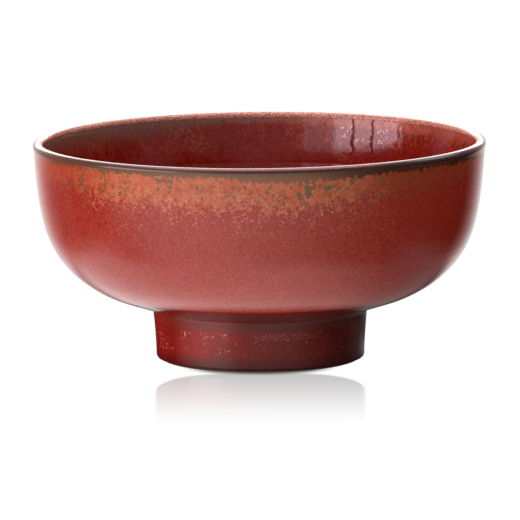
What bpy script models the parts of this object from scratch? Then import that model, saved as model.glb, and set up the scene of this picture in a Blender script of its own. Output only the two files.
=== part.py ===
"""Footed stoneware bowl with a crimson reactive glaze.

The bowl is built up the way it was made: a thrown bowl, a separate ring foot,
the slip that joins them, and the glaze layers fired over them.
Metres, +Z up, origin on the axis at the level of the resting face.
"""

import math

import bpy

MM = 0.001

# Driving dimensions, in millimetres.
STEPS = 48            # facets round the axis, the same for every layer
GAP = 0.3             # clearance between one layer and the next
GLAZE = 0.6           # thickness of every glaze layer
SKIN = GLAZE + GAP    # depth of the clay below the glazed surface

LIP_R = 75.85         # centre of the rounded lip
LIP_Z = 73.8
LIP_ROUND = 1.7       # radius of the rounded lip, so the height is 75.5

WALL_TOP_R = 77.2     # outside of the wall, just under the lip
WALL_TOP_Z = 73.0
WALL_TOP_SLOPE = 87.7     # degrees up from level

# Outside of the bowl from the lip down: length of each stretch, how many degrees
# it turns towards level, and how many facets it is cut into.
WALL_STRETCHES = (
    (1.6, 0.5, 1),
    (15.7, 5.1, 2),
    (9.8, 7.5, 2),
    (23.1, 38.6, 5),
    (13.7, 18.1, 3),
)
WELL_CONE_LENGTH = 7.6    # the underside's cone carried on over the foot
WELL_ARC_LENGTH = 20.3    # flattening out inside the foot

WALL_AT_LIP = 3.3     # thickness through clay and both glazes
WALL_AT_FOOT = 5.0

FOOT_TOP_R = 36.75    # outside of the foot where the fillet starts
FILLET = 1.8          # between foot and underside
FOOT_WALL = ((36.4, 13.0), (36.05, 8.5), (35.8, 4.0))
FOOT_CORNER = 1.75    # rounding at the foot's lower edge
FOOT_CORNER_R = 34.0  # its centre, and the outside of the resting face
FOOT_INNER_R = 31.0
FOOT_REST_R = 31.9    # inside of the resting face

SLIP = 0.9            # thickness of the slip between bowl and foot

CLAY = (0.155, 0.098, 0.066)
SLIP_CLAY = (0.190, 0.118, 0.080)
CRIMSON_IN = (0.190, 0.012, 0.008)
CRIMSON_OUT = (0.420, 0.060, 0.040)
IRON = (0.105, 0.055, 0.032)
FOOT_RED = (0.150, 0.022, 0.016)
WELL_RED = (0.120, 0.016, 0.012)


def stretch(stations, length, turn, pieces):
    """Carry a curve inwards and down; a station is (radius, height, slope)."""
    radius, height, slope = stations[-1]
    step = length / pieces
    bend = math.radians(turn) / pieces
    chord = step
    if bend:
        chord = step * math.sin(bend / 2) / (bend / 2)
    for _ in range(pieces):
        middle = slope - bend / 2
        radius -= chord * math.cos(middle)
        height -= chord * math.sin(middle)
        slope -= bend
        stations.append((radius, height, slope))


def outside_stations():
    """The glazed outside of the bowl, from below the lip to the foot."""
    stations = [(WALL_TOP_R, WALL_TOP_Z, math.radians(WALL_TOP_SLOPE))]
    for length, turn, pieces in WALL_STRETCHES:
        stretch(stations, length, turn, pieces)
    radius, height, slope = stations[-1]
    fillet_end = FOOT_TOP_R + FILLET * (1.0 - math.sin(slope))
    stretch(stations, (radius - fillet_end) / math.cos(slope), 0.0, 1)
    return stations


def well_stations(last):
    """The same underside carried on inside the foot, almost to the axis."""
    stations = [last]
    stretch(stations, WELL_CONE_LENGTH, 0.0, 1)
    stretch(stations, WELL_ARC_LENGTH, math.degrees(last[2]), 3)
    return stations[1:]


def inset(station, depth):
    """A point this deep below the surface at a station."""
    radius, height, slope = station
    return (radius - depth * math.sin(slope), height + depth * math.cos(slope))


def inside_points(stations, lift):
    """The inside of the bowl from lip to axis, sunk below the glaze by lift."""
    wall = stations[1:-1]
    points = []
    for index, station in enumerate(wall):
        share = min(1.0, index / (len(wall) - 4))
        thickness = WALL_AT_LIP + (WALL_AT_FOOT - WALL_AT_LIP) * share
        points.append(inset(station, thickness - lift))
    slope = wall[-1][2]
    start_r, start_z = inset(wall[-1], WALL_AT_FOOT)
    sweep = start_r / math.sin(slope)
    centre_z = start_z + sweep * math.cos(slope)
    for share in (0.66, 0.33, 0.0):
        angle = slope * share
        radius = (sweep + lift) * math.sin(angle)
        height = centre_z - (sweep + lift) * math.cos(angle)
        points.append((radius, height))
    return points


def arc(centre_r, centre_z, radius, start, end, pieces):
    points = []
    for index in range(pieces + 1):
        angle = math.radians(start + (end - start) * index / pieces)
        point_r = centre_r + radius * math.cos(angle)
        point_z = centre_z + radius * math.sin(angle)
        points.append((point_r, point_z))
    return points


def fillet_centre(last):
    """Centre of the fillet between the foot and the underside."""
    radius, height, slope = last
    centre_r = FOOT_TOP_R + FILLET
    line_z = height + (centre_r - radius) * math.tan(slope)
    return centre_r, line_z - FILLET / math.cos(slope)


def foot_points(last, depth, end):
    """Outside of the foot from the fillet down, this deep below its glaze."""
    centre_r, centre_z = fillet_centre(last)
    top = 90.0 + math.degrees(last[2])
    points = arc(centre_r, centre_z, FILLET + depth, top, 180.0, 3)
    for radius, height in FOOT_WALL:
        points.append((radius - depth, height))
    points += arc(FOOT_CORNER_R, FOOT_CORNER, FOOT_CORNER - depth, 0.0, end, 2)
    return points


def material(name, colour, roughness, coat):
    surface = bpy.data.materials.new(name)
    surface.use_nodes = True
    shader = surface.node_tree.nodes["Principled BSDF"]
    shader.inputs["Base Color"].default_value = (*colour, 1.0)
    shader.inputs["Roughness"].default_value = roughness
    shader.inputs["Coat Weight"].default_value = coat
    shader.inputs["Coat Roughness"].default_value = 0.06
    surface.diffuse_color = (*colour, 1.0)
    return surface


def turned(name, profile, closed, surface, collection):
    """Turn a profile about the axis; a closed one makes a ring."""
    mesh = bpy.data.meshes.new(name)
    verts = [(radius * MM, 0.0, height * MM) for radius, height in profile]
    edges = [(index, index + 1) for index in range(len(verts) - 1)]
    if closed:
        edges.append((len(verts) - 1, 0))
    mesh.from_pydata(verts, edges, [])
    mesh.materials.append(surface)
    piece = bpy.data.objects.new(name, mesh)
    collection.objects.link(piece)
    screw = piece.modifiers.new("Turn", "SCREW")
    screw.axis = "Z"
    screw.angle = math.radians(360.0)
    screw.steps = STEPS
    screw.render_steps = STEPS
    screw.use_merge_vertices = True
    screw.merge_threshold = 0.00001
    screw.use_smooth_shade = True
    return piece


def on_axis(point):
    return (0.0, point[1])


def bowl_body(stations, well):
    """The clay wall and floor of the bowl, under its glazes."""
    inside = inside_points(stations, SKIN)
    lip = arc(LIP_R, LIP_Z, LIP_ROUND - SKIN, 180.0, 0.0, 4)
    outside = [inset(station, SKIN) for station in stations[1:] + well]
    floor = on_axis(inside[-1])
    base = on_axis(outside[-1])
    return [floor] + inside[-2::-1] + lip + outside + [base]


def inner_glaze(stations):
    """Glaze over the inside, from the axis to the rim band."""
    seen = inside_points(stations, 0.0)
    hidden = inside_points(stations, GLAZE)
    return [on_axis(seen[-1])] + seen[-2::-1] + hidden[:-1] + [on_axis(hidden[-1])]


def outer_glaze(stations):
    """Glaze over the outside, from the rim band to the foot's fillet."""
    radius, height, slope = stations[-1]
    short = (radius + GAP * math.cos(slope), height + GAP * math.sin(slope), slope)
    layer = stations[1:-1] + [short]
    seen = [inset(station, 0.0) for station in layer]
    hidden = [inset(station, GLAZE) for station in layer]
    return seen + hidden[::-1]


def rim_glaze(stations):
    """The dark iron band that wraps over the lip."""
    out_r, out_z = inset(stations[1], 0.0)
    in_r, in_z = inside_points(stations, 0.0)[0]
    seen = [(in_r, in_z + GAP)]
    seen += arc(LIP_R, LIP_Z, LIP_ROUND, 195.0, -15.0, 6)
    seen += [(out_r, out_z + GAP)]
    under = [(in_r + GLAZE, in_z + GAP)]
    under += arc(LIP_R, LIP_Z, LIP_ROUND - GLAZE, 180.0, 0.0, 4)
    under += [(out_r - GLAZE, out_z + GAP)]
    return seen + under[::-1]


def foot_ring(last, well):
    """The thrown foot, bare where it rests."""
    outside = foot_points(last, SKIN, -15.0)[3:-1]
    top_inner = inset(well[0], SKIN)
    slope = last[2]
    drop = (2 * GAP + SLIP) / math.cos(slope)
    rise_z = top_inner[1] - drop
    inner_z = rise_z + (FOOT_INNER_R - top_inner[0]) * math.tan(slope)
    outer_r = outside[0][0]
    outer_z = rise_z + (outer_r - top_inner[0]) * math.tan(slope)
    profile = [(FOOT_INNER_R, inner_z), (outer_r, outer_z)]
    profile += outside[1:]
    profile += [(34.6, 1.0), (34.5, 0.45), (FOOT_CORNER_R, 0.0)]
    profile += [(FOOT_REST_R, 0.0), (FOOT_INNER_R + 0.1, 0.8)]
    return profile


def slip_joint(last, well):
    """Slip between bowl and foot, squeezed out into a bead in the corner."""
    slope = last[2]
    centre_r, centre_z = fillet_centre(last)
    top_inner = inset(well[0], SKIN)
    inner_r = FOOT_INNER_R + GAP
    upper = top_inner[1] - GAP / math.cos(slope)
    lower = top_inner[1] - (GAP + SLIP) / math.cos(slope)
    rise = (inner_r - top_inner[0]) * math.tan(slope)
    bead = arc(centre_r, centre_z, FILLET + SKIN, 136.0, 164.0, 2)
    return [(inner_r, upper + rise)] + bead + [(inner_r, lower + rise)]


def foot_glaze(last):
    """Glaze from the fillet down to just above the resting face."""
    seen = foot_points(last, 0.0, -35.0)
    hidden = foot_points(last, GLAZE, -35.0)
    return seen + hidden[::-1]


def foot_well_glaze(well):
    """Glaze inside the foot: the underside of the floor and the foot's wall."""
    seen_r = FOOT_INNER_R - SKIN
    hidden_r = FOOT_INNER_R - GAP
    hidden = [inset(station, GLAZE) for station in well[::-1]]
    seen = [inset(station, 0.0) for station in well]
    top = hidden[-1][1]
    profile = [on_axis(hidden[0])] + hidden[:-1]
    profile += [(hidden_r - 0.9, top - 0.25), (hidden_r, top - 1.1), (hidden_r, 2.2)]
    profile += [(seen_r, 2.2), (seen_r, top - 2.0), (seen_r - 1.1, top - 1.05)]
    profile += seen[1:]
    return profile + [on_axis(seen[-1])]


def build():
    for old in list(bpy.data.objects):
        bpy.data.objects.remove(old)
    collection = bpy.data.collections.new("footed_bowl")
    bpy.context.scene.collection.children.link(collection)
    stations = outside_stations()
    last = stations[-1]
    well = well_stations(last)
    clay = material("stoneware", CLAY, 0.75, 0.0)
    foot_clay = material("stoneware_foot", CLAY, 0.80, 0.0)
    slip = material("slip", SLIP_CLAY, 0.85, 0.0)
    inside = material("crimson_inside", CRIMSON_IN, 0.16, 0.6)
    outside = material("crimson_outside", CRIMSON_OUT, 0.20, 0.5)
    iron = material("iron_rim", IRON, 0.22, 0.5)
    foot = material("crimson_foot", FOOT_RED, 0.18, 0.5)
    underneath = material("crimson_well", WELL_RED, 0.20, 0.5)
    turned("bowl_body", bowl_body(stations, well), False, clay, collection)
    turned("foot_ring", foot_ring(last, well), True, foot_clay, collection)
    turned("slip_joint", slip_joint(last, well), True, slip, collection)
    turned("inner_glaze", inner_glaze(stations), False, inside, collection)
    turned("outer_glaze", outer_glaze(stations), True, outside, collection)
    turned("rim_glaze", rim_glaze(stations), True, iron, collection)
    turned("foot_glaze", foot_glaze(last), True, foot, collection)
    turned("foot_well_glaze", foot_well_glaze(well), False, underneath, collection)


build()
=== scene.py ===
"""Footed stoneware bowl with a crimson reactive glaze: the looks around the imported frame."""

import math

import bmesh
import bpy
import numpy as np
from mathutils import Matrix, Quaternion, Vector


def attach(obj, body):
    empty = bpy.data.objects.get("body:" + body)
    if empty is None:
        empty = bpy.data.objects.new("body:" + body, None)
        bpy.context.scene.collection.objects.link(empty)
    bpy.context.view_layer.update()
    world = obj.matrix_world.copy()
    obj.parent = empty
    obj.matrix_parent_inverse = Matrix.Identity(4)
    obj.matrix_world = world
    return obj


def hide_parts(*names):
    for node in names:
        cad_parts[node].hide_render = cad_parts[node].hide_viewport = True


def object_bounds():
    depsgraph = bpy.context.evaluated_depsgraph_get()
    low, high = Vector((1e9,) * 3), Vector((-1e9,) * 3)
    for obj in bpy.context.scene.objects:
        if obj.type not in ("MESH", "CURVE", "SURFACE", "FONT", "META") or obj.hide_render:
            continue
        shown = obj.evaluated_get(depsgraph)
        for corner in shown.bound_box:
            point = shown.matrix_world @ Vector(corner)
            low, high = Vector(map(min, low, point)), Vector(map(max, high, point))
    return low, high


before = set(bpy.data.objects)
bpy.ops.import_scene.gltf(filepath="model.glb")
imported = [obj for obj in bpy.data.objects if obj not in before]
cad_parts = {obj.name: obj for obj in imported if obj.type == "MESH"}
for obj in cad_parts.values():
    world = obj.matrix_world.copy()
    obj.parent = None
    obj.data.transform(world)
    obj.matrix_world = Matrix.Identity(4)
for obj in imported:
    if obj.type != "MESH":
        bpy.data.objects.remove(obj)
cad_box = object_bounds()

# ---------------------------------------------------------------- sizes
# All in the frame's own millimetres, until MM turns them into metres.
CAD_HEIGHT = 75.5
MM = float(cad_box[1][2] - cad_box[0][2]) / CAD_HEIGHT

LIP_R, LIP_Z, LIP_ROUND = 75.85, 73.8, 1.7
LIP_IN, LIP_OUT = 184.0, -24.0          # the lip's arc, between the inner and outer layers
GLAZE = 0.6                             # thickness of a glaze layer

# Outside: length of each stretch, how many degrees it turns, and its number of facets.
WALL_TOP = (77.2, 73.0, math.radians(87.7))
WALL_STRETCHES = ((1.6, 0.5, 4), (15.7, 5.1, 26), (9.8, 7.5, 16), (23.1, 38.6, 40), (13.7, 18.1, 22))
CONE_FACETS = 22

# Inside: a straight wall, then the outside's curve at a growing depth, then a round floor.
INSIDE_TOP = (73.90, 72.2)
INSIDE_TAPER = 0.114                    # how far the straight wall leans in for each millimetre down
INSIDE_HEIGHTS = (72.2, 70.2, 68.2, 66.2, 64.2, 62.2, 60.2, 58.6, 57.4)     # along the straight wall
MEET_Z = 55.4                           # between the straight wall and the curve
CURVE_TOP_Z = 52.0                      # the curve's own points start below this
WALL_AT_LIP, WALL_AT_FOOT = 3.3, 5.0    # thickness of the wall with its glazes
THICKENS_OVER = sum(length for length, _, _ in WALL_STRETCHES[1:4])
THICKENS_LATE = 1.3                     # more than 1: slowly at first
INSIDE_EASE = (0.13, 0.75)              # a point above the straight wall, on the way to the lip's arc
CURVE_STEP = 7                          # the curve takes one of the outside's stations in this many

FOOT_TOP_R, FILLET = 36.75, 1.8
FOOT_WALL = ((36.4, 13.0), (36.05, 8.5), (35.8, 4.0))
FOOT_CORNER, FOOT_CORNER_R = 1.75, 34.0

AROUND = 720                            # facets round the axis
BACK_ROWS = 6                           # one row behind the glaze for this many in front
SWAY = 0.0042                           # the lip leans this much out of true, to the left

# Ridges down the inner wall: where in degrees, width in degrees, and how proud.
RUNS = ((63.2, 0.42, 0.10), (57.2, 0.34, 0.08), (48.0, 0.6, 0.03), (101.0, 0.6, 0.08),
        (142.0, 0.5, 0.09), (203.0, 0.5, 0.12), (255.0, 0.6, 0.10), (318.0, 0.5, 0.11),
        (12.0, 0.6, 0.08), (172.0, 0.5, 0.08), (285.0, 0.4, 0.09))


# ---------------------------------------------------------------- profiles
def stretch(stations, length, turn, pieces):
    """Carry a curve inwards and down; a station is (radius, height, slope)."""
    radius, height, slope = stations[-1]
    step, bend = length / pieces, math.radians(turn) / pieces
    chord = step * (math.sin(bend / 2) / (bend / 2) if bend else 1.0)
    for _ in range(pieces):
        middle = slope - bend / 2
        radius -= chord * math.cos(middle)
        height -= chord * math.sin(middle)
        slope -= bend
        stations.append((radius, height, slope))


def arc(centre_r, centre_z, radius, start, end, pieces):
    """Points along an arc, from one angle to another in degrees."""
    angles = [math.radians(start + (end - start) * i / pieces) for i in range(pieces + 1)]
    return [(centre_r + radius * math.cos(a), centre_z + radius * math.sin(a)) for a in angles]


def smooth(points, per):
    """A smooth curve through a few points."""
    pts = [np.array(p, float) for p in points]
    pts = [2 * pts[0] - pts[1]] + pts + [2 * pts[-1] - pts[-2]]
    out = []
    for i in range(1, len(pts) - 2):
        a, b, c, d = pts[i - 1:i + 3]
        for k in range(per):
            t = k / per
            out.append(tuple(0.5 * (2 * b + (c - a) * t + (2 * a - 5 * b + 4 * c - d) * t * t
                                    + (3 * b - a - 3 * c + d) * t ** 3)))
    return out + [tuple(pts[-2])]


def outside():
    """Stations down the outside, from below the lip to the foot's fillet."""
    stations = [WALL_TOP]
    for length, turn, pieces in WALL_STRETCHES:
        stretch(stations, length, turn, pieces)
    radius, _, slope = stations[-1]
    end = FOOT_TOP_R + FILLET * (1.0 - math.sin(slope))
    stretch(stations, (radius - end) / math.cos(slope), 0.0, CONE_FACETS)
    return stations


def inset(station, depth):
    """A point this deep below the surface at a station."""
    radius, height, slope = station
    return (radius - depth * math.sin(slope), height + depth * math.cos(slope))


def inside_curve():
    """The inside of the bowl from the lip's arc to the axis."""
    top_r, top_z = INSIDE_TOP
    points = [arc(LIP_R, LIP_Z, LIP_ROUND, LIP_IN, LIP_IN, 1)[0]]
    points.append((top_r + INSIDE_EASE[0], top_z + INSIDE_EASE[1]))
    for z in INSIDE_HEIGHTS:
        points.append((top_r - (top_z - z) * INSIDE_TAPER, z))

    stations = outside()
    travel = 0.0
    count = 0
    curve = []
    for length, _, pieces in WALL_STRETCHES:
        for _ in range(pieces):
            count += 1
            travel += length / pieces
            grown = min(1.0, max(0.0, travel - WALL_STRETCHES[0][0]) / THICKENS_OVER) ** THICKENS_LATE
            curve.append(inset(stations[count], WALL_AT_LIP + (WALL_AT_FOOT - WALL_AT_LIP) * grown))
    curve_end = curve[-1]
    slope = stations[count][2]
    # halfway between the straight wall and the curve, where the two meet
    meet_r = top_r - (top_z - MEET_Z) * INSIDE_TAPER
    curve_r = min(curve, key=lambda point: abs(point[1] - MEET_Z))[0]
    points.append(((meet_r + curve_r) / 2, MEET_Z))
    curve = [point for point in curve[::-1] if point[1] < CURVE_TOP_Z]
    points += curve[::CURVE_STEP][::-1]

    sweep = curve_end[0] / math.sin(slope)
    centre_z = curve_end[1] + sweep * math.cos(slope)
    start = math.degrees(slope) - 90.0
    floor = arc(0.0, centre_z, sweep, start, -90.0, 6)[1:-1]
    points += floor + [(0.05, centre_z - sweep)]
    return smooth(points, 6)


# ---------------------------------------------------------------- meshes
def ridge(angle, where, width):
    """A soft upright ridge at a given angle."""
    gap = (angle - math.radians(where) + math.pi) % (2 * math.pi) - math.pi
    return np.exp(-(gap / math.radians(width)) ** 2)


def ease(value, low, high):
    """0 at low, 1 at high, and smooth between."""
    t = np.clip((value - low) / (high - low), 0.0, 1.0)
    return t * t * (3.0 - 2.0 * t)


def inner_relief(radius, height, angle):
    """Runs of glaze down the inner wall, a faint throwing spiral, and a flatter place back right."""
    fade = ease(height, 58.0, 69.0) * ease(height, 73.4, 71.6)
    runs = 0.0
    for where, width, proud in RUNS:
        runs = runs + proud * ridge(angle + 0.004 * np.sin(height * 1.3), where, width)
    turns = 0.005 * np.sin(2 * math.pi * height / 5.2 + angle) * ease(height, 66.0, 50.0)
    lean = np.clip((73.6 - height) / 16.6, 0.0, 1.0) * ease(height, 32.0, 60.0)
    flat = 0.31 * lean * ridge(angle, 48.0, 18.0)
    return runs * fade + turns * ease(radius, 12.0, 32.0) + flat * ease(height, 73.6, 72.0)


def outer_relief(radius, height, angle):
    """Faint throwing rings, a little out of true."""
    calm = ease(height, 71.5, 65.5) * ease(height, 19.5, 24.0)
    rings = 0.012 * np.sin(2 * math.pi * height / 6.4 + angle)
    rings = rings + 0.004 * np.sin(2 * math.pi * height / 2.7 - angle)
    return calm * (rings + 0.05 * np.sin(2 * angle + 0.6) + 0.03 * np.sin(3 * angle + height / 14.0))


def turned_skin(profile, relief):
    """The whole glazed surface as a grid of points and normals, once round the axis."""
    pts = np.array(profile, float)
    way = np.gradient(pts, axis=0)
    way /= np.linalg.norm(way, axis=1)[:, None]
    angle = (np.arange(AROUND) * 2 * math.pi / AROUND)[:, None]
    radius = np.repeat(pts[None, :, 0], AROUND, 0)
    height = np.repeat(pts[None, :, 1], AROUND, 0)
    push = relief(radius, height, angle)
    radius = radius - push * way[None, :, 1]
    height = height + push * way[None, :, 0]
    height = height + SWAY * radius * np.cos(angle) * np.clip((height - 22.0) / 53.0, 0.0, 1.0)
    co = np.stack([radius * np.cos(angle), radius * np.sin(angle), height], 2)
    ahead = np.diff(co, axis=1)
    ahead /= np.linalg.norm(ahead, axis=2)[:, :, None]
    along = np.concatenate([ahead[:, :1], ahead[:, :-1] + ahead[:, 1:], ahead[:, -1:]], 1)
    normals = np.cross(along, np.roll(co, -1, 0) - np.roll(co, 1, 0))
    normals /= np.linalg.norm(normals, axis=2)[:, :, None]
    return co, normals


def solid_strip(name, co, normals, depth, tips=False):
    """A strip of the skin made solid with a plain surface behind it, at the given depth."""
    count = co.shape[1]
    keep = sorted(set(range(0, count, BACK_ROWS)) | {count - 1})[::-1]
    co = np.concatenate([co, co[:, keep] - normals[:, keep] * depth], 1) * MM
    ring = np.arange(AROUND)
    nxt = (ring + 1) % AROUND
    ends = []
    if tips:
        # the first and last rows lie on the axis, one vertex each
        ends = [(0.0, 0.0, co[0, 0, 2]), (0.0, 0.0, co[0, -1, 2])]
        co, normals, count = co[:, 1:-1], normals[:, 1:], count - 1
    rows = co.shape[1]
    i = np.arange(rows - 1 if tips else rows)
    j = (i + 1) % rows
    a, b = (ring[:, None] * rows + i).ravel(), (ring[:, None] * rows + j).ravel()
    c, d = (nxt[:, None] * rows + j).ravel(), (nxt[:, None] * rows + i).ravel()
    faces = np.stack([a, b, c, d], 1).tolist()
    loops = np.zeros((AROUND, len(i), 4, 3))
    seen = count - 1
    loops[:, :seen, 0], loops[:, :seen, 1] = normals[:, :-1], normals[:, 1:]
    loops[:, :seen, 2], loops[:, :seen, 3] = normals[nxt, 1:], normals[nxt, :-1]
    loops = loops.reshape(-1, 3)
    verts = co.reshape(-1, 3).tolist()
    if tips:
        first = len(verts)
        verts += ends
        faces += [(first, int(k * rows), int(m * rows)) for k, m in zip(ring, nxt)]
        faces += [(first + 1, int(m * rows + rows - 1), int(k * rows + rows - 1)) for k, m in zip(ring, nxt)]
        loops = np.concatenate([loops, np.zeros((6 * AROUND, 3))])
    mesh = bpy.data.meshes.new(name)
    mesh.from_pydata(verts, [], faces)
    mesh.update()
    mesh.polygons.foreach_set("use_smooth", np.ones(len(mesh.polygons), bool))
    pair = np.empty(len(mesh.edges) * 2, np.int32)
    mesh.edges.foreach_get("vertices", pair)
    pair = pair.reshape(-1, 2)
    corners = [count - 1, count] + ([] if tips else [0, rows - 1])
    hard = np.isin(pair[:, 0] % rows, corners) & (pair[:, 0] % rows == pair[:, 1] % rows)
    hard &= pair.max(1) < AROUND * rows
    mesh.attributes.new("sharp_edge", "BOOLEAN", "EDGE").data.foreach_set("value", hard)
    mesh.normals_split_custom_set(loops.tolist())
    piece = bpy.data.objects.new(name, mesh)
    bpy.context.scene.collection.objects.link(piece)
    return piece


# ---------------------------------------------------------------- node graphs
class Graph:
    """A short way to write a node material."""

    def __init__(self, name):
        self.mat = bpy.data.materials.new(name)
        self.mat.use_nodes = True
        self.tree = self.mat.node_tree
        self.shader = self.tree.nodes["Principled BSDF"]
        coords = self.tree.nodes.new("ShaderNodeTexCoord")
        self.pos = coords.outputs["Object"]
        parts = self.tree.nodes.new("ShaderNodeSeparateXYZ")
        self.tree.links.new(self.pos, parts.inputs[0])
        self.x, self.y, self.z = parts.outputs

    def put(self, socket, value):
        if isinstance(value, bpy.types.NodeSocket):
            self.tree.links.new(value, socket)
        elif isinstance(value, tuple) and len(value) == 3 and socket.type == "RGBA":
            socket.default_value = (*value, 1.0)
        else:
            socket.default_value = value

    def math(self, op, a, b=0.0):
        node = self.tree.nodes.new("ShaderNodeMath")
        node.operation = op
        for socket, value in zip(node.inputs, (a, b)):
            self.put(socket, value)
        return node.outputs[0]

    def mul(self, a, b):
        return self.math("MULTIPLY", a, b)

    def add(self, a, b):
        return self.math("ADD", a, b)

    def sub(self, a, b):
        return self.math("SUBTRACT", a, b)

    def step(self, value, low, high, to_low=0.0, to_high=1.0):
        node = self.tree.nodes.new("ShaderNodeMapRange")
        node.interpolation_type = "SMOOTHSTEP"
        for socket, item in zip(node.inputs, (value, low, high, to_low, to_high)):
            self.put(socket, item)
        return node.outputs[0]

    def noise(self, size_mm, detail=2.0, rough=0.5, tall=1.0, shift=0.0):
        """Noise whose grain is about size_mm, and `tall` times that upwards."""
        per = 1.0 / (size_mm * 0.001)
        place = self.tree.nodes.new("ShaderNodeMapping")
        self.put(place.inputs["Vector"], self.pos)
        place.inputs["Scale"].default_value = (per, per, per / tall)
        place.inputs["Location"].default_value = (shift, shift * 0.7, shift * 1.3)
        node = self.tree.nodes.new("ShaderNodeTexNoise")
        self.put(node.inputs["Vector"], place.outputs[0])
        node.inputs["Scale"].default_value = 1.0
        node.inputs["Detail"].default_value = detail
        node.inputs["Roughness"].default_value = rough
        return node.outputs[0]

    def mix(self, factor, a, b):
        node = self.tree.nodes.new("ShaderNodeMix")
        node.data_type = "RGBA"
        node.clamp_factor = True
        self.put(node.inputs[0], factor)
        self.put(node.inputs[6], a)
        self.put(node.inputs[7], b)
        return node.outputs[2]

    def bump(self, height, depth_mm):
        node = self.tree.nodes.new("ShaderNodeBump")
        node.inputs["Strength"].default_value = 1.0
        node.inputs["Distance"].default_value = depth_mm * 0.001
        self.put(node.inputs["Height"], height)
        return node.outputs[0]

    def finish(self, colour, rough, normal):
        self.put(self.shader.inputs["Base Color"], colour)
        self.put(self.shader.inputs["Roughness"], rough)
        self.put(self.shader.inputs["Normal"], normal)
        self.shader.inputs["IOR"].default_value = 1.5
        return self.mat


# Colours, linear: the outside and the rim.
RED = (0.345, 0.030, 0.017)
RED_LIGHT = (0.450, 0.055, 0.037)
RED_DARK = (0.250, 0.016, 0.010)
CORAL = (0.555, 0.150, 0.062)
ORANGE = (0.510, 0.092, 0.026)
FLECK = (0.740, 0.310, 0.180)
OLIVE = (0.120, 0.088, 0.038)
IRON = (0.110, 0.062, 0.030)
IRON_LOW = (0.190, 0.080, 0.032)
IRON_RIGHT_SHADE = (0.026, 0.017, 0.009)
LIP = (0.700, 0.330, 0.250)
RED_FLECK = (0.560, 0.100, 0.068)
RED_PIT = (0.240, 0.012, 0.008)
RED_RIGHT_SHADE = (0.400, 0.026, 0.012)
CORAL_PIT = (0.380, 0.050, 0.028)
CORAL_RIGHT_SHADE = (0.290, 0.030, 0.011)
CORAL_LEFT = (0.390, 0.048, 0.022)
IRON_LEFT = (0.130, 0.036, 0.018)
IRON_FLECK = (0.200, 0.085, 0.040)
IRON_LINE = (0.030, 0.005, 0.003)
LIP_PIT = (0.330, 0.075, 0.045)
CREST_DARK = (0.200, 0.026, 0.016)
CREST_LIGHT = (0.280, 0.050, 0.030)
SIDE_BROWN = (0.150, 0.078, 0.055)
SIDE_CORAL = (0.480, 0.120, 0.065)
CORNER_SHADE = (0.035, 0.004, 0.003)
# The inside.
DEEP_DARK = (0.150, 0.004, 0.003)
DEEP_LIGHT = (0.260, 0.009, 0.006)
NET_ORANGE = (0.460, 0.075, 0.028)
NET_PALE = (0.620, 0.260, 0.160)
BROWN_DARK = (0.150, 0.072, 0.052)
BROWN_LIGHT = (0.230, 0.112, 0.080)
INNER_ORANGE = (0.400, 0.060, 0.028)
INNER_CORAL = (0.560, 0.150, 0.075)
INNER_RIGHT = (0.300, 0.030, 0.012)
INNER_SPECK = (0.090, 0.060, 0.030)
GLINT_PALE = (0.950, 0.720, 0.480)
DARK_RUN = (0.090, 0.008, 0.006)
# The foot.
FOOT_RED = (0.330, 0.016, 0.011)
FOOT_DARK = (0.230, 0.012, 0.008)
FOOT_PIT = (0.150, 0.008, 0.006)
FOOT_FLECK = (0.360, 0.045, 0.034)
FOOT_BROWN_DARK = (0.150, 0.026, 0.018)
FOOT_BROWN_LIGHT = (0.205, 0.038, 0.026)
FOOT_HEM = (0.130, 0.048, 0.034)
FOOT_ORANGE = (0.260, 0.060, 0.018)
FOOT_SPECK = (0.620, 0.280, 0.220)
FOOT_CONTACT_SHADE = (0.030, 0.008, 0.006)
BLACK = (0.0, 0.0, 0.0)
# The bare clay.
CLAY_DARK = (0.13, 0.08, 0.052)
CLAY_LIGHT = (0.19, 0.125, 0.085)
CLAY_GRIT = (0.05, 0.032, 0.022)


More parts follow.
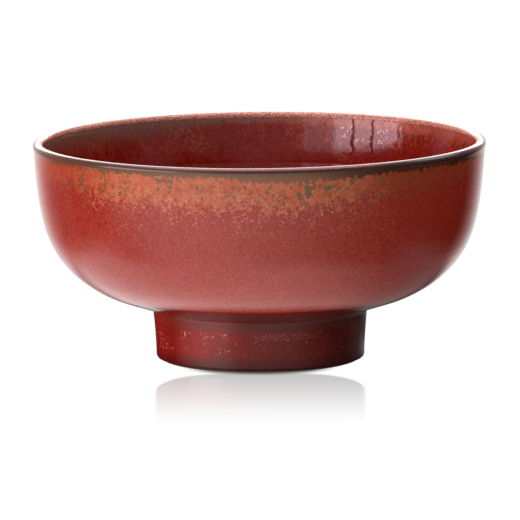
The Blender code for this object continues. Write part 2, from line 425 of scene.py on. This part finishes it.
def outer_material():
    """Crimson body, a coral band under the rim with olive specks, and the iron rim."""
    g = Graph("crimson_outside")
    z = g.mul(g.z, 1000.0)
    front = g.math("ABSOLUTE", g.add(g.mul(g.y, -0.985 / 0.077), g.mul(g.x, -0.174 / 0.077)))

    cloud = g.noise(11.0, 3.0, 0.6, shift=7.0)
    coarse = g.noise(2.4, 4.0, 0.72, tall=1.1, shift=5.0)
    grain = g.noise(0.95, 4.0, 0.78, tall=1.05, shift=11.0)
    fine = g.noise(0.55, 2.0, 0.6, shift=19.0)

    # crimson ground with a fine mottle
    ground = g.mix(g.step(grain, 0.36, 0.64), RED_DARK, RED_LIGHT)
    ground = g.mix(0.35, ground, RED)
    ground = g.mix(g.step(cloud, 0.35, 0.65, 0.0, 0.25), ground, RED_DARK)
    ground = g.mix(g.step(fine, 0.57, 0.70, 0.0, 0.5), ground, RED_FLECK)
    ground = g.mix(g.step(fine, 0.40, 0.28, 0.0, 0.5), ground, RED_PIT)
    # painted shade: the crimson darkens towards the right side
    ground = g.mix(g.step(g.x, 0.040, 0.062, 0.0, 0.60), ground, RED_RIGHT_SHADE)

    # coral band: nearly solid under the rim, breaking up into flecks lower down
    border = g.add(g.sub(71.0, g.mul(front, 9.0)), g.step(g.x, -0.040, -0.066, 0.0, 1.5))
    level = g.add(g.sub(z, border), g.mul(g.sub(cloud, 0.5), 10.0))
    pattern = g.add(g.mul(grain, 0.55), g.mul(coarse, 0.45))
    edge = g.step(level, -9.0, 8.0, 0.64, 0.37)
    band = g.step(pattern, g.sub(edge, 0.03), g.add(edge, 0.03))
    coral = g.mix(g.step(coarse, 0.40, 0.60), ORANGE, CORAL)
    coral = g.mix(g.step(fine, 0.42, 0.30, 0.0, 0.8), coral, CORAL_PIT)
    coral = g.mix(g.step(fine, 0.58, 0.72, 0.0, 0.5), coral, FLECK)
    # painted shade: the coral darkens towards the right side
    coral_right_shade = g.step(g.x, 0.026, 0.048, 0.0, 0.80)
    coral = g.mix(coral_right_shade, coral, CORAL_RIGHT_SHADE)
    coral = g.mix(g.step(g.x, -0.046, -0.066, 0.0, 0.80), coral, CORAL_LEFT)
    colour = g.mix(g.mul(band, 0.88), ground, coral)

    # light flecks over the transition
    spot = g.noise(0.7, 2.0, 0.6, shift=31.0)
    keep = g.step(g.noise(4.0, 2.0, 0.6, shift=37.0), 0.45, 0.60)
    reach = g.mul(g.step(level, -14.0, -3.0), g.step(level, 9.0, 3.0))
    sideways = g.math("ABSOLUTE", g.add(g.x, 0.012))
    strength = g.mul(reach, g.step(sideways, 0.030, 0.056, 0.55, 0.12))
    dots = g.mul(g.mul(g.step(spot, 0.55, 0.64), keep), strength)
    colour = g.mix(dots, colour, FLECK)

    # olive specks in the band
    mote = g.add(g.mul(g.noise(1.25, 3.0, 0.6, tall=1.3, shift=43.0), 0.72),
                 g.mul(g.noise(7.0, 2.0, 0.5, shift=53.0), 0.28))
    spread = g.mul(g.step(z, 56.0, 67.0), g.step(front, 0.35, 1.0, 0.45, 1.0))
    bound = g.sub(0.675, g.mul(spread, 0.125))
    olive = g.step(mote, bound, g.add(bound, 0.02))
    # one longer patch right of the middle
    along = g.mul(g.sub(g.x, 0.0163), 1000.0 / 1.1)
    up = g.mul(g.sub(z, 67.3), 1.0 / 3.0)
    blob = g.math("SQRT", g.add(g.mul(along, along), g.mul(up, up)))
    blob = g.add(blob, g.mul(g.sub(coarse, 0.5), 2.6))
    patch = g.mul(g.step(blob, 1.0, 0.75), g.math("LESS_THAN", g.y, 0.0))
    olive = g.math("MAXIMUM", olive, patch)
    # fine dark veins between the specks, right of the middle
    vein = g.step(g.math("ABSOLUTE", g.sub(g.noise(1.9, 3.0, 0.65, shift=71.0), 0.5)), 0.020, 0.008)
    vein = g.mul(vein, g.step(g.noise(4.5, 2.0, 0.6, shift=73.0), 0.50, 0.60))
    vein = g.mul(g.mul(vein, g.step(z, 58.0, 63.0)), g.step(g.x, -0.012, 0.010, 0.25, 0.9))
    olive = g.math("MAXIMUM", olive, g.mul(vein, g.step(front, 0.3, 0.7)))
    colour = g.mix(g.mul(olive, 0.88), colour, OLIVE)

    # iron band under the lip, with a ragged lower edge
    ragged = g.add(g.mul(g.sub(g.noise(1.6, 4.0, 0.7, tall=1.8, shift=61.0), 0.5), 6.0),
                   g.mul(g.sub(g.noise(9.0, 2.0, 0.5, shift=67.0), 0.5), 2.0))
    dip = g.mul(g.step(g.x, -0.016, 0.002, 0.0, 1.1), g.step(g.x, 0.042, 0.020))
    rim = g.step(g.add(g.add(z, ragged), dip), 71.9, 72.4)
    iron = g.mix(g.step(g.add(z, g.mul(g.sub(coarse, 0.5), 2.0)), 72.4, 73.5), IRON_LOW, IRON)
    iron = g.mix(g.step(g.x, -0.048, -0.064), iron, IRON_LEFT)
    # painted shade: the iron darkens towards the right side
    iron = g.mix(g.step(g.x, 0.012, 0.040), iron, IRON_RIGHT_SHADE)
    iron = g.mix(g.step(fine, 0.35, 0.7, 0.0, 0.25), iron, IRON_FLECK)
    line = g.mul(g.step(z, 73.6, 74.3), g.step(g.x, -0.030, -0.010, 0.75, 0.9))
    iron = g.mix(line, iron, IRON_LINE)
    colour = g.mix(g.mul(rim, 0.94), colour, iron)
    # the crest and the inner side of the lip, where the iron has burnt to coral
    away = g.mul(g.math("SQRT", g.add(g.mul(g.x, g.x), g.mul(g.y, g.y))), 1000.0)
    inward = g.mul(g.step(away, 75.9, 75.3), g.math("GREATER_THAN", z, 72.8))
    crest = g.step(g.add(z, g.mul(g.sub(coarse, 0.5), 0.6)), g.sub(74.75, g.mul(inward, 1.8)),
                   g.sub(75.05, g.mul(inward, 1.6)))
    ends = g.mul(g.step(g.math("ABSOLUTE", g.x), 0.024, 0.050), g.step(away, 75.9, 76.3))
    crest = g.mul(crest, g.sub(1.0, g.mul(ends, g.step(g.y, 0.040, -0.005))))
    lip = g.mix(g.step(fine, 0.4, 0.6), LIP_PIT, LIP)
    lip = g.mix(inward, g.mix(g.step(fine, 0.4, 0.6), CREST_DARK, CREST_LIGHT), lip)
    side = g.mix(g.step(g.x, -0.010, 0.030), SIDE_BROWN, SIDE_CORAL)
    colour = g.mix(g.mul(inward, g.step(z, 74.9, 74.4)), colour, side)
    colour = g.mix(crest, colour, lip)
    # painted shade: darker in the corner above the foot, under the bowl
    colour = g.mix(g.step(z, 24.35, 23.1, 0.0, 0.84), colour, CORNER_SHADE)

    rough = g.add(0.08, g.mul(g.step(grain, 0.3, 0.7), 0.05))
    rough = g.add(rough, g.mul(band, 0.05))
    height = g.add(g.mul(grain, 0.5), g.mul(coarse, 0.6))
    normal = g.bump(height, 0.025)
    return g.finish(colour, rough, normal)


def inner_material():
    """Deep crimson with an orange network, browner at the back left and orange at the back right."""
    g = Graph("crimson_inside")
    z = g.mul(g.z, 1000.0)
    cloud = g.noise(13.0, 3.0, 0.6, shift=103.0)
    coarse = g.noise(2.2, 4.0, 0.7, tall=1.4, shift=105.0)
    grain = g.noise(1.0, 5.0, 0.75, tall=1.2, shift=107.0)
    fine = g.noise(0.5, 2.0, 0.6, shift=109.0)
    ground = g.mix(g.step(grain, 0.35, 0.65), DEEP_DARK, DEEP_LIGHT)
    # orange network, denser towards the lip
    net = g.step(g.math("ABSOLUTE", g.sub(coarse, 0.5)), 0.0, 0.050, 1.0, 0.0)
    amount = g.mul(g.step(z, 56.0, 71.0, 0.15, 0.85), g.step(cloud, 0.38, 0.60, 0.25, 1.0))
    colour = g.mix(g.mul(net, amount), ground, NET_ORANGE)
    colour = g.mix(g.mul(g.step(fine, 0.64, 0.74), amount), colour, NET_PALE)
    # under the lip: grey-brown, orange on the right
    ragged = g.mul(g.sub(g.noise(2.2, 4.0, 0.7, tall=1.6, shift=113.0), 0.5), 9.0)
    lower = g.add(g.step(g.x, -0.060, -0.005, 68.5, 71.8), g.step(g.x, 0.005, 0.045, 0.0, -1.0))
    soft = g.step(g.x, -0.045, -0.005, 4.5, 1.0)
    band = g.step(g.add(z, g.mul(ragged, 0.7)), g.sub(lower, soft), g.add(lower, soft))
    brown = g.mix(g.step(fine, 0.35, 0.65), BROWN_DARK, BROWN_LIGHT)
    orange = g.mix(g.step(coarse, 0.40, 0.60), INNER_ORANGE, INNER_CORAL)
    orange = g.mix(g.step(g.x, 0.046, 0.062, 0.0, 0.7), orange, INNER_RIGHT)
    tone = g.mix(g.step(g.x, -0.005, 0.035), brown, orange)
    colour = g.mix(g.mul(band, 0.88), colour, tone)
    mote = g.noise(1.2, 3.0, 0.6, shift=131.0)
    specks = g.mul(g.step(mote, 0.62, 0.65), g.step(z, 66.0, 71.0))
    colour = g.mix(g.mul(specks, 0.8), colour, INNER_SPECK)
    # painted glints: pale specks in the coral at the back right, where the window reflects
    spot = g.noise(0.9, 1.0, 0.5, shift=137.0)
    place = g.mul(g.step(g.x, 0.020, 0.030), g.step(g.x, 0.052, 0.042))
    place = g.mul(place, g.math("GREATER_THAN", g.y, 0.0))
    place = g.mul(place, g.mul(g.step(z, 63.0, 66.5), g.step(z, 73.0, 71.0)))
    place = g.mul(place, g.step(g.noise(5.0, 2.0, 0.6, shift=139.0), 0.46, 0.54))
    glints = g.mul(g.step(spot, 0.62, 0.67), place)
    colour = g.mix(glints, colour, GLINT_PALE)
    # two dark runs
    turn = g.math("ARCTAN2", g.y, g.x)
    wave = g.mul(g.math("SINE", g.mul(z, 1.1)), 0.005)
    wave = g.add(wave, g.mul(g.sub(g.noise(1.5, 3.0, 0.6, shift=149.0), 0.5), 0.024))
    run = 0.0
    for where in (63.2, 57.2):
        gap = g.math("ABSOLUTE", g.sub(g.add(turn, wave), math.radians(where)))
        run = g.math("MAXIMUM", run, g.step(gap, 0.0085, 0.0040))
    run = g.mul(run, g.step(z, 62.0, 64.5))
    colour = g.mix(g.mul(run, 0.8), colour, DARK_RUN)
    rough = g.add(0.035, g.mul(g.step(fine, 0.3, 0.7), 0.045))
    g.put(g.shader.inputs["Specular IOR Level"], g.sub(0.5, g.mul(run, 0.42)))
    peel = g.noise(3.4, 2.0, 0.6, tall=1.5, shift=151.0)
    normal = g.bump(g.add(g.add(g.mul(grain, 0.5), coarse), g.mul(peel, 1.2)), 0.016)
    return g.finish(colour, rough, normal)


def foot_material():
    """Dark crimson, brown under the fillet, with a few pale and orange specks, and painted shade to the
    right and low down.
    """
    g = Graph("crimson_foot")
    z = g.mul(g.z, 1000.0)
    cloud = g.noise(13.0, 2.0, 0.5, shift=203.0)
    grain = g.noise(0.9, 4.0, 0.7, shift=207.0)
    fine = g.noise(0.5, 2.0, 0.6, shift=209.0)
    ground = g.mix(g.step(cloud, 0.35, 0.65), FOOT_DARK, FOOT_RED)
    ground = g.mix(g.step(grain, 0.35, 0.65, 0.0, 0.6), ground, FOOT_PIT)
    ground = g.mix(g.step(fine, 0.58, 0.72, 0.0, 0.5), ground, FOOT_FLECK)
    brown = g.mix(g.step(grain, 0.3, 0.7), FOOT_BROWN_DARK, FOOT_BROWN_LIGHT)
    wander = g.mul(g.sub(cloud, 0.5), 1.6)
    shoulder = g.step(g.add(z, wander), 13.0, 15.6)
    hem = g.mul(g.step(g.x, -0.027, -0.018), g.step(g.x, -0.004, -0.012))
    hem = g.mul(g.step(g.add(z, wander), 5.2, 2.8), hem)
    colour = g.mix(g.mul(shoulder, g.step(g.x, -0.034, -0.022, 0.35, 0.85)), ground, brown)
    colour = g.mix(g.mul(hem, 0.6), colour, FOOT_HEM)
    # orange speckle right of the middle, pale specks on the left
    speck = g.step(g.noise(0.8, 3.0, 0.7, shift=213.0), 0.49, 0.56)
    speck = g.mul(speck, g.mul(g.step(z, 10.6, 12.0), g.step(z, 14.4, 13.0)))
    speck = g.mul(speck, g.mul(g.step(g.x, -0.004, 0.003), g.step(g.x, 0.022, 0.013)))
    spot = g.noise(0.9, 1.0, 0.5, shift=217.0)
    keep = g.step(g.noise(6.0, 2.0, 0.6, shift=219.0), 0.48, 0.58)
    keep = g.mul(keep, g.step(g.x, -0.008, 0.002, 0.9, 0.30))
    keep = g.mul(keep, g.mul(g.step(z, 4.0, 6.5), g.step(z, 14.5, 13.0)))
    # painted shade: darker from the middle to the right, and low down
    shade = g.mul(g.step(g.x, -0.015, -0.003, 0.88, 0.46), g.step(g.x, 0.004, 0.014, 1.0, 1.25))
    shade = g.mul(shade, g.step(g.x, 0.008, 0.030, 1.0, 0.66))
    shade = g.mul(shade, g.step(z, 6.5, 2.0, 1.0, 0.62))
    colour = g.mix(g.sub(1.0, shade), colour, BLACK)
    colour = g.mix(g.mul(speck, 0.75), colour, FOOT_ORANGE)
    colour = g.mix(g.mul(g.mul(g.step(spot, 0.66, 0.70), keep), 0.85), colour, FOOT_SPECK)
    # painted shade: a dark line where it turns under, at the floor
    colour = g.mix(g.step(z, 1.5, 0.6), colour, FOOT_CONTACT_SHADE)
    rough = g.add(0.10, g.mul(g.step(grain, 0.3, 0.7), 0.07))
    normal = g.bump(grain, 0.015)
    # painted shade in the reflection: the specular level is set by position across the foot, none at the
    # left edge, less towards the right and more again at the right edge
    level = g.mul(g.step(g.x, -0.030, -0.018, 0.0, 0.38), g.step(g.x, -0.014, -0.007, 1.0, 0.50))
    level = g.mul(level, g.step(g.x, 0.010, 0.030, 1.0, 0.30))
    g.put(g.shader.inputs["Specular IOR Level"], g.add(level, g.step(g.x, 0.0335, 0.0360, 0.0, 0.45)))
    return g.finish(colour, rough, normal)


def clay_material():
    """Bare stoneware, where the foot rests and behind the glazes."""
    g = Graph("stoneware")
    grain = g.noise(0.7, 4.0, 0.7, shift=303.0)
    cloud = g.noise(9.0, 3.0, 0.6, shift=307.0)
    colour = g.mix(g.step(cloud, 0.3, 0.7), CLAY_DARK, CLAY_LIGHT)
    colour = g.mix(g.step(grain, 0.58, 0.68, 0.0, 0.6), colour, CLAY_GRIT)
    rough = g.add(0.68, g.mul(grain, 0.2))
    return g.finish(colour, rough, g.bump(grain, 0.05))


# ---------------------------------------------------------------- pieces
def build_pieces():
    """One skin over the whole bowl, cut into the four glazes that are seen."""
    stations = outside()
    radius, height, slope = stations[-1]
    inner = inside_curve()[::-1]
    rim = arc(LIP_R, LIP_Z, LIP_ROUND, LIP_IN, LIP_OUT, 70)
    outer = [rim[-1], (77.22, 72.35)] + [(r, z) for r, z, _ in stations if z < 71.9]
    outer = smooth(outer[:4], 5)[:-1] + outer[3:]
    centre_r = FOOT_TOP_R + FILLET
    centre_z = height + (centre_r - radius) * math.tan(slope) - FILLET / math.cos(slope)
    top = 90.0 + math.degrees(slope)
    foot = arc(centre_r, centre_z, FILLET, top, 180.0, 14)
    wall = smooth((foot[-1],) + FOOT_WALL + ((FOOT_CORNER_R + FOOT_CORNER, FOOT_CORNER),), 9)[1:-1]
    foot += wall + arc(FOOT_CORNER_R, FOOT_CORNER, FOOT_CORNER, 0.0, -35.0, 6)

    profile = inner + rim[1:] + outer[1:] + foot[1:]
    ends = np.cumsum([len(inner) - 1, len(rim) - 1, len(outer) - 1, len(foot) - 1])
    row = np.arange(len(profile))[None, :]

    def relief(r, z, angle):
        inside = row <= ends[0]
        outdoors = (row >= ends[1]) & (row <= ends[2])
        inner_push = np.where(inside, inner_relief(r, z, angle), 0.0)
        return inner_push + np.where(outdoors, outer_relief(r, z, angle), 0.0)

    co, normals = turned_skin(profile, relief)
    starts = [0] + list(ends[:-1])
    strips = []
    for name, start, end in zip(("inner", "rim", "outer", "foot"), starts, ends):
        part = slice(start, end + 1)
        title = name + "_glaze_surface"
        strips.append(solid_strip(title, co[:, part], normals[:, part], GLAZE, name == "inner"))
    inner, rim, outer, foot = strips

    outer_mat = outer_material()
    inner_mat = inner_material()
    foot_mat = foot_material()
    clay = clay_material()
    for piece, node, slot, mat in ((outer, "outer_glaze", "crimson_outside", outer_mat),
                                   (inner, "inner_glaze", "crimson_inside", inner_mat),
                                   (rim, "rim_glaze", "iron_rim", outer_mat),
                                   (foot, "foot_glaze", "crimson_foot", foot_mat)):
        piece.data.materials.append(mat)
        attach(piece, "root")
        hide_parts(node)
    for node in ("bowl_body", "foot_ring", "slip_joint"):
        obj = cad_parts[node]
        obj.data.materials.clear()
        obj.data.materials.append(clay)
    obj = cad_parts["foot_well_glaze"]
    obj.data.materials.clear()
    obj.data.materials.append(foot_mat)


# ---------------------------------------------------------------- stage, light and camera
WHITE = 1.02                            # the floor and the backdrop, just past white
ROOM_REACH = 2.8                        # half the floor's width, in metres
BACKDROP_R = 4.0
PATCH_R = 0.13
AIM = Vector((0.0, 0.0, 0.045))         # what the lights face
HALF_BOWL = 0.0775
FRAME_SHARE = 0.43404                   # half the bowl's width, as a share of the picture's


def emitter(name, strength):
    mat = bpy.data.materials.new(name)
    mat.use_nodes = True
    tree = mat.node_tree
    tree.nodes.clear()
    out = tree.nodes.new("ShaderNodeOutputMaterial")
    glow = tree.nodes.new("ShaderNodeEmission")
    glow.inputs[0].default_value = (1.0, 1.0, 1.0, 1.0)
    glow.inputs[1].default_value = strength
    tree.links.new(glow.outputs[0], out.inputs[0])
    return mat


def floor_material():
    """White table top with a faint mirror image that fades out towards the front."""
    g = Graph("floor")
    tree = g.tree
    tree.nodes.remove(g.shader)
    out = tree.nodes["Material Output"]
    glow = tree.nodes.new("ShaderNodeEmission")
    glow.inputs[0].default_value = (1.0, 1.0, 1.0, 1.0)
    gloss = tree.nodes.new("ShaderNodeBsdfGlossy")
    gloss.inputs["Color"].default_value = (1.0, 1.0, 1.0, 1.0)
    gloss.inputs["Roughness"].default_value = 0.03
    across = g.math("MINIMUM", g.mul(g.math("ABSOLUTE", g.x), 1.0 / 0.0355), 1.0)
    bow = g.math("POWER", g.math("MAXIMUM", g.sub(1.0, g.math("POWER", across, 3.0)), 0.0), 1.0 / 3.0)
    start = g.sub(g.mul(bow, 0.0495), 0.0835)
    near = g.step(g.y, g.add(start, 0.003), g.sub(start, 0.003))
    fade = g.mul(near, g.step(g.y, -0.020, -0.150, 0.48, 0.0))
    beside = g.mul(g.math("ABSOLUTE", g.x), g.sub(0.982, g.mul(g.y, 0.5)))
    fade = g.mul(fade, g.step(beside, 0.0368, 0.0345))
    # a painted contact shadow: a dark line on the floor round the front of the foot
    away = g.math("SQRT", g.add(g.mul(g.x, g.x), g.mul(g.y, g.y)))
    front = g.step(g.math("ABSOLUTE", g.x), 0.0290, 0.0150)
    front = g.mul(front, g.step(g.y, -0.010, -0.024))
    contact_shadow = g.sub(1.0, g.mul(g.step(away, 0.0400, 0.0345, 0.0, 0.75), front))
    tree.links.new(g.mul(contact_shadow, WHITE), glow.inputs[1])
    mixer = tree.nodes.new("ShaderNodeMixShader")
    tree.links.new(fade, mixer.inputs[0])
    tree.links.new(glow.outputs[0], mixer.inputs[1])
    tree.links.new(gloss.outputs[0], mixer.inputs[2])
    tree.links.new(mixer.outputs[0], out.inputs[0])
    return g.mat


def patch_material():
    """A glowing disc: painted light from the window side, painted shade close to the foot and a painted
    shadow of the bowl.
    """
    g = Graph("table_patch")
    tree = g.tree
    tree.nodes.remove(g.shader)
    out = tree.nodes["Material Output"]
    glow = tree.nodes.new("ShaderNodeEmission")
    clear = tree.nodes.new("ShaderNodeBsdfTransparent")
    away = g.math("SQRT", g.add(g.mul(g.x, g.x), g.mul(g.y, g.y)))
    toward = g.add(g.mul(g.x, -0.80), g.mul(g.y, -0.60))
    painted_light = g.mul(g.step(toward, -0.038, 0.050, 0.26, 1.35), g.step(away, 0.0355, 0.0460, 0.22, 1.0))
    painted_light = g.mul(painted_light, g.step(g.y, 0.010, 0.045, 1.0, 0.35))
    tree.links.new(painted_light, glow.inputs[1])
    mixer = tree.nodes.new("ShaderNodeMixShader")
    tree.links.new(g.step(away, 0.085, 0.125), mixer.inputs[0])
    tree.links.new(glow.outputs[0], mixer.inputs[1])
    tree.links.new(clear.outputs[0], mixer.inputs[2])
    tree.links.new(mixer.outputs[0], out.inputs[0])
    return g.mat


def softbox(name, azimuth, away, width, heights, radiance, colour=(1.0, 1.0, 1.0)):
    """A panel facing the bowl; azimuth counts from the front, to the right."""
    low, high = heights
    light = bpy.data.lights.new(name, "AREA")
    light.shape = "RECTANGLE"
    light.size = width
    light.size_y = high - low
    light.energy = radiance * math.pi * light.size * light.size_y
    light.color = colour
    obj = bpy.data.objects.new(name, light)
    bpy.context.scene.collection.objects.link(obj)
    turn = math.radians(azimuth)
    place = Vector((math.sin(turn) * away, -math.cos(turn) * away, (low + high) / 2))
    obj.location = place
    aim = AIM - place
    obj.rotation_euler = aim.to_track_quat("-Z", "Y").to_euler()
    obj.visible_camera = False


def build_world():
    """Pale table and room: bright in front left and behind, dark to the right."""
    world = bpy.data.worlds.new("studio")
    bpy.context.scene.world = world
    world.use_nodes = True
    tree = world.node_tree
    back = tree.nodes["Background"]
    coord = tree.nodes.new("ShaderNodeTexCoord")
    parts = tree.nodes.new("ShaderNodeSeparateXYZ")
    tree.links.new(coord.outputs["Generated"], parts.inputs[0])

    def node(op, a, b=0.0):
        one = tree.nodes.new("ShaderNodeMath")
        one.operation = op
        for socket, value in zip(one.inputs, (a, b)):
            if isinstance(value, bpy.types.NodeSocket):
                tree.links.new(value, socket)
            else:
                socket.default_value = value
        return one.outputs[0]

    def step(value, low, high, to_low=0.0, to_high=1.0):
        one = tree.nodes.new("ShaderNodeMapRange")
        one.interpolation_type = "SMOOTHSTEP"
        tree.links.new(value, one.inputs[0])
        for socket, item in zip(list(one.inputs)[1:5], (low, high, to_low, to_high)):
            if isinstance(item, bpy.types.NodeSocket):
                tree.links.new(item, socket)
            else:
                socket.default_value = item
        return one.outputs[0]

    def mixed(factor, a, b):
        return node("ADD", node("MULTIPLY", a, node("SUBTRACT", 1.0, factor)), node("MULTIPLY", b, factor))

    x, y, z = parts.outputs
    turn = node("MULTIPLY", node("ARCTAN2", x, node("MULTIPLY", y, -1.0)), 180.0 / math.pi)
    behind = node("ADD", step(turn, 133.0, 166.0, 0.0, 1.0), step(turn, -129.0, -162.0, 0.0, 0.85))
    behind = node("ADD", behind, step(turn, -112.0, -124.0, 0.0, 0.15))
    front = node("MULTIPLY", step(turn, -105.0, -45.0), step(turn, -42.0, 84.0, 1.0, 0.0))
    front = node("ADD", node("MULTIPLY", front, 1.30), 0.03)
    near = step(x, -0.12, 0.26, 1.25, 0.30)
    rear = mixed(step(z, -0.60, -0.34), near, behind)
    table = mixed(step(y, -0.20, 0.25), front, rear)
    room = node("ADD", node("MULTIPLY", behind, 0.6), step(turn, -60.0, 60.0, 0.40, 0.25))
    room = mixed(step(z, 0.30, 0.90), room, step(turn, -60.0, 60.0, 0.80, 0.40))
    total = mixed(step(z, -0.02, 0.02), table, room)
    tree.links.new(total, back.inputs[1])
    # the room takes a red cast beside the bright back wall
    cast = node("ADD", node("MULTIPLY", step(turn, 118.0, 132.0), step(turn, 168.0, 150.0)),
                node("MULTIPLY", step(turn, -114.0, -126.0), step(turn, -165.0, -146.0)))
    tint = tree.nodes.new("ShaderNodeCombineColor")
    tree.links.new(node("ADD", node("MULTIPLY", cast, 0.22), 1.0), tint.inputs[0])
    tree.links.new(node("SUBTRACT", 1.0, node("MULTIPLY", cast, 0.18)), tint.inputs[1])
    tree.links.new(node("SUBTRACT", 1.0, node("MULTIPLY", cast, 0.22)), tint.inputs[2])
    tree.links.new(tint.outputs[0], back.inputs[0])


def staged(name, mesh, height, material):
    """Put a piece of the studio in the scene at this height."""
    obj = bpy.data.objects.new(name, mesh)
    bpy.context.scene.collection.objects.link(obj)
    obj.location.z = height
    mesh.materials.append(material)
    return obj


def built(name, make, **sizes):
    """A mesh made by one of Blender's own primitives."""
    mesh = bpy.data.meshes.new(name)
    bm = bmesh.new()
    make(bm, **sizes)
    bm.to_mesh(mesh)
    bm.free()
    return mesh


def build_stage():
    ground = float(cad_box[0][2])
    corners = [(-1, -1), (1, -1), (1, 1), (-1, 1)]
    floor_mesh = bpy.data.meshes.new("floor")
    floor_mesh.from_pydata([(x * ROOM_REACH, y * ROOM_REACH, 0.0) for x, y in corners], [], [(0, 1, 2, 3)])
    floor = staged("floor", floor_mesh, ground - 0.00005, floor_material())
    # a glowing disc of painted light and shade on the table around the foot, seen only by the glaze
    patch_mesh = built("table_patch", bmesh.ops.create_circle, cap_ends=True, segments=64, radius=PATCH_R)
    patch = staged("table_patch", patch_mesh, ground - 0.0003, patch_material())
    patch.visible_camera = False
    # white backdrop; it and the floor are seen by the camera only
    dome_mesh = built("backdrop", bmesh.ops.create_uvsphere, u_segments=48, v_segments=24, radius=BACKDROP_R)
    dome = staged("backdrop", dome_mesh, 0.0, emitter("backdrop", WHITE))
    dome.visible_transmission = False
    for obj in (floor, dome):
        obj.visible_glossy = False
        obj.visible_diffuse = False
        obj.visible_shadow = False


def build_lights():
    softbox("window", -63.5, 1.30, 1.00, (0.085, 0.62), 4.7, (1.0, 0.78, 0.90))
    softbox("window_side", -34.0, 1.30, 0.42, (0.085, 0.60), 1.0, (1.0, 0.80, 0.92))
    softbox("over_back", 180.0, 1.20, 1.15, (0.20, 1.30), 3.2)
    softbox("top", 180.0, 0.15, 1.60, (0.70, 2.10), 2.2)
    softbox("right_back", 122.0, 1.30, 0.80, (0.75, 1.35), 2.0)


def build_camera():
    """The photograph's angle: about nine degrees down, with a slight roll."""
    target = Vector((0.0, 0.0, 0.0336))
    away, up = 2.170, 0.3575
    cam = bpy.data.cameras.new("camera")
    obj = bpy.data.objects.new("camera", cam)
    bpy.context.scene.collection.objects.link(obj)
    obj.location = (0.0, -away, up)
    look = target - obj.location
    quat = look.to_track_quat("-Z", "Y") @ Quaternion((0.0, 0.0, 1.0), math.radians(-0.30))
    obj.rotation_euler = quat.to_euler()
    cam.sensor_width = 36.0
    cam.lens = cam.sensor_width * FRAME_SHARE / HALF_BOWL * look.length
    cam.clip_start = 0.05
    cam.clip_end = 50.0
    bpy.context.scene.camera = obj


bpy.context.scene.view_settings.view_transform = "Standard"
build_pieces()
build_world()
build_stage()
build_lights()
build_camera()

bpy.context.view_layer.update()
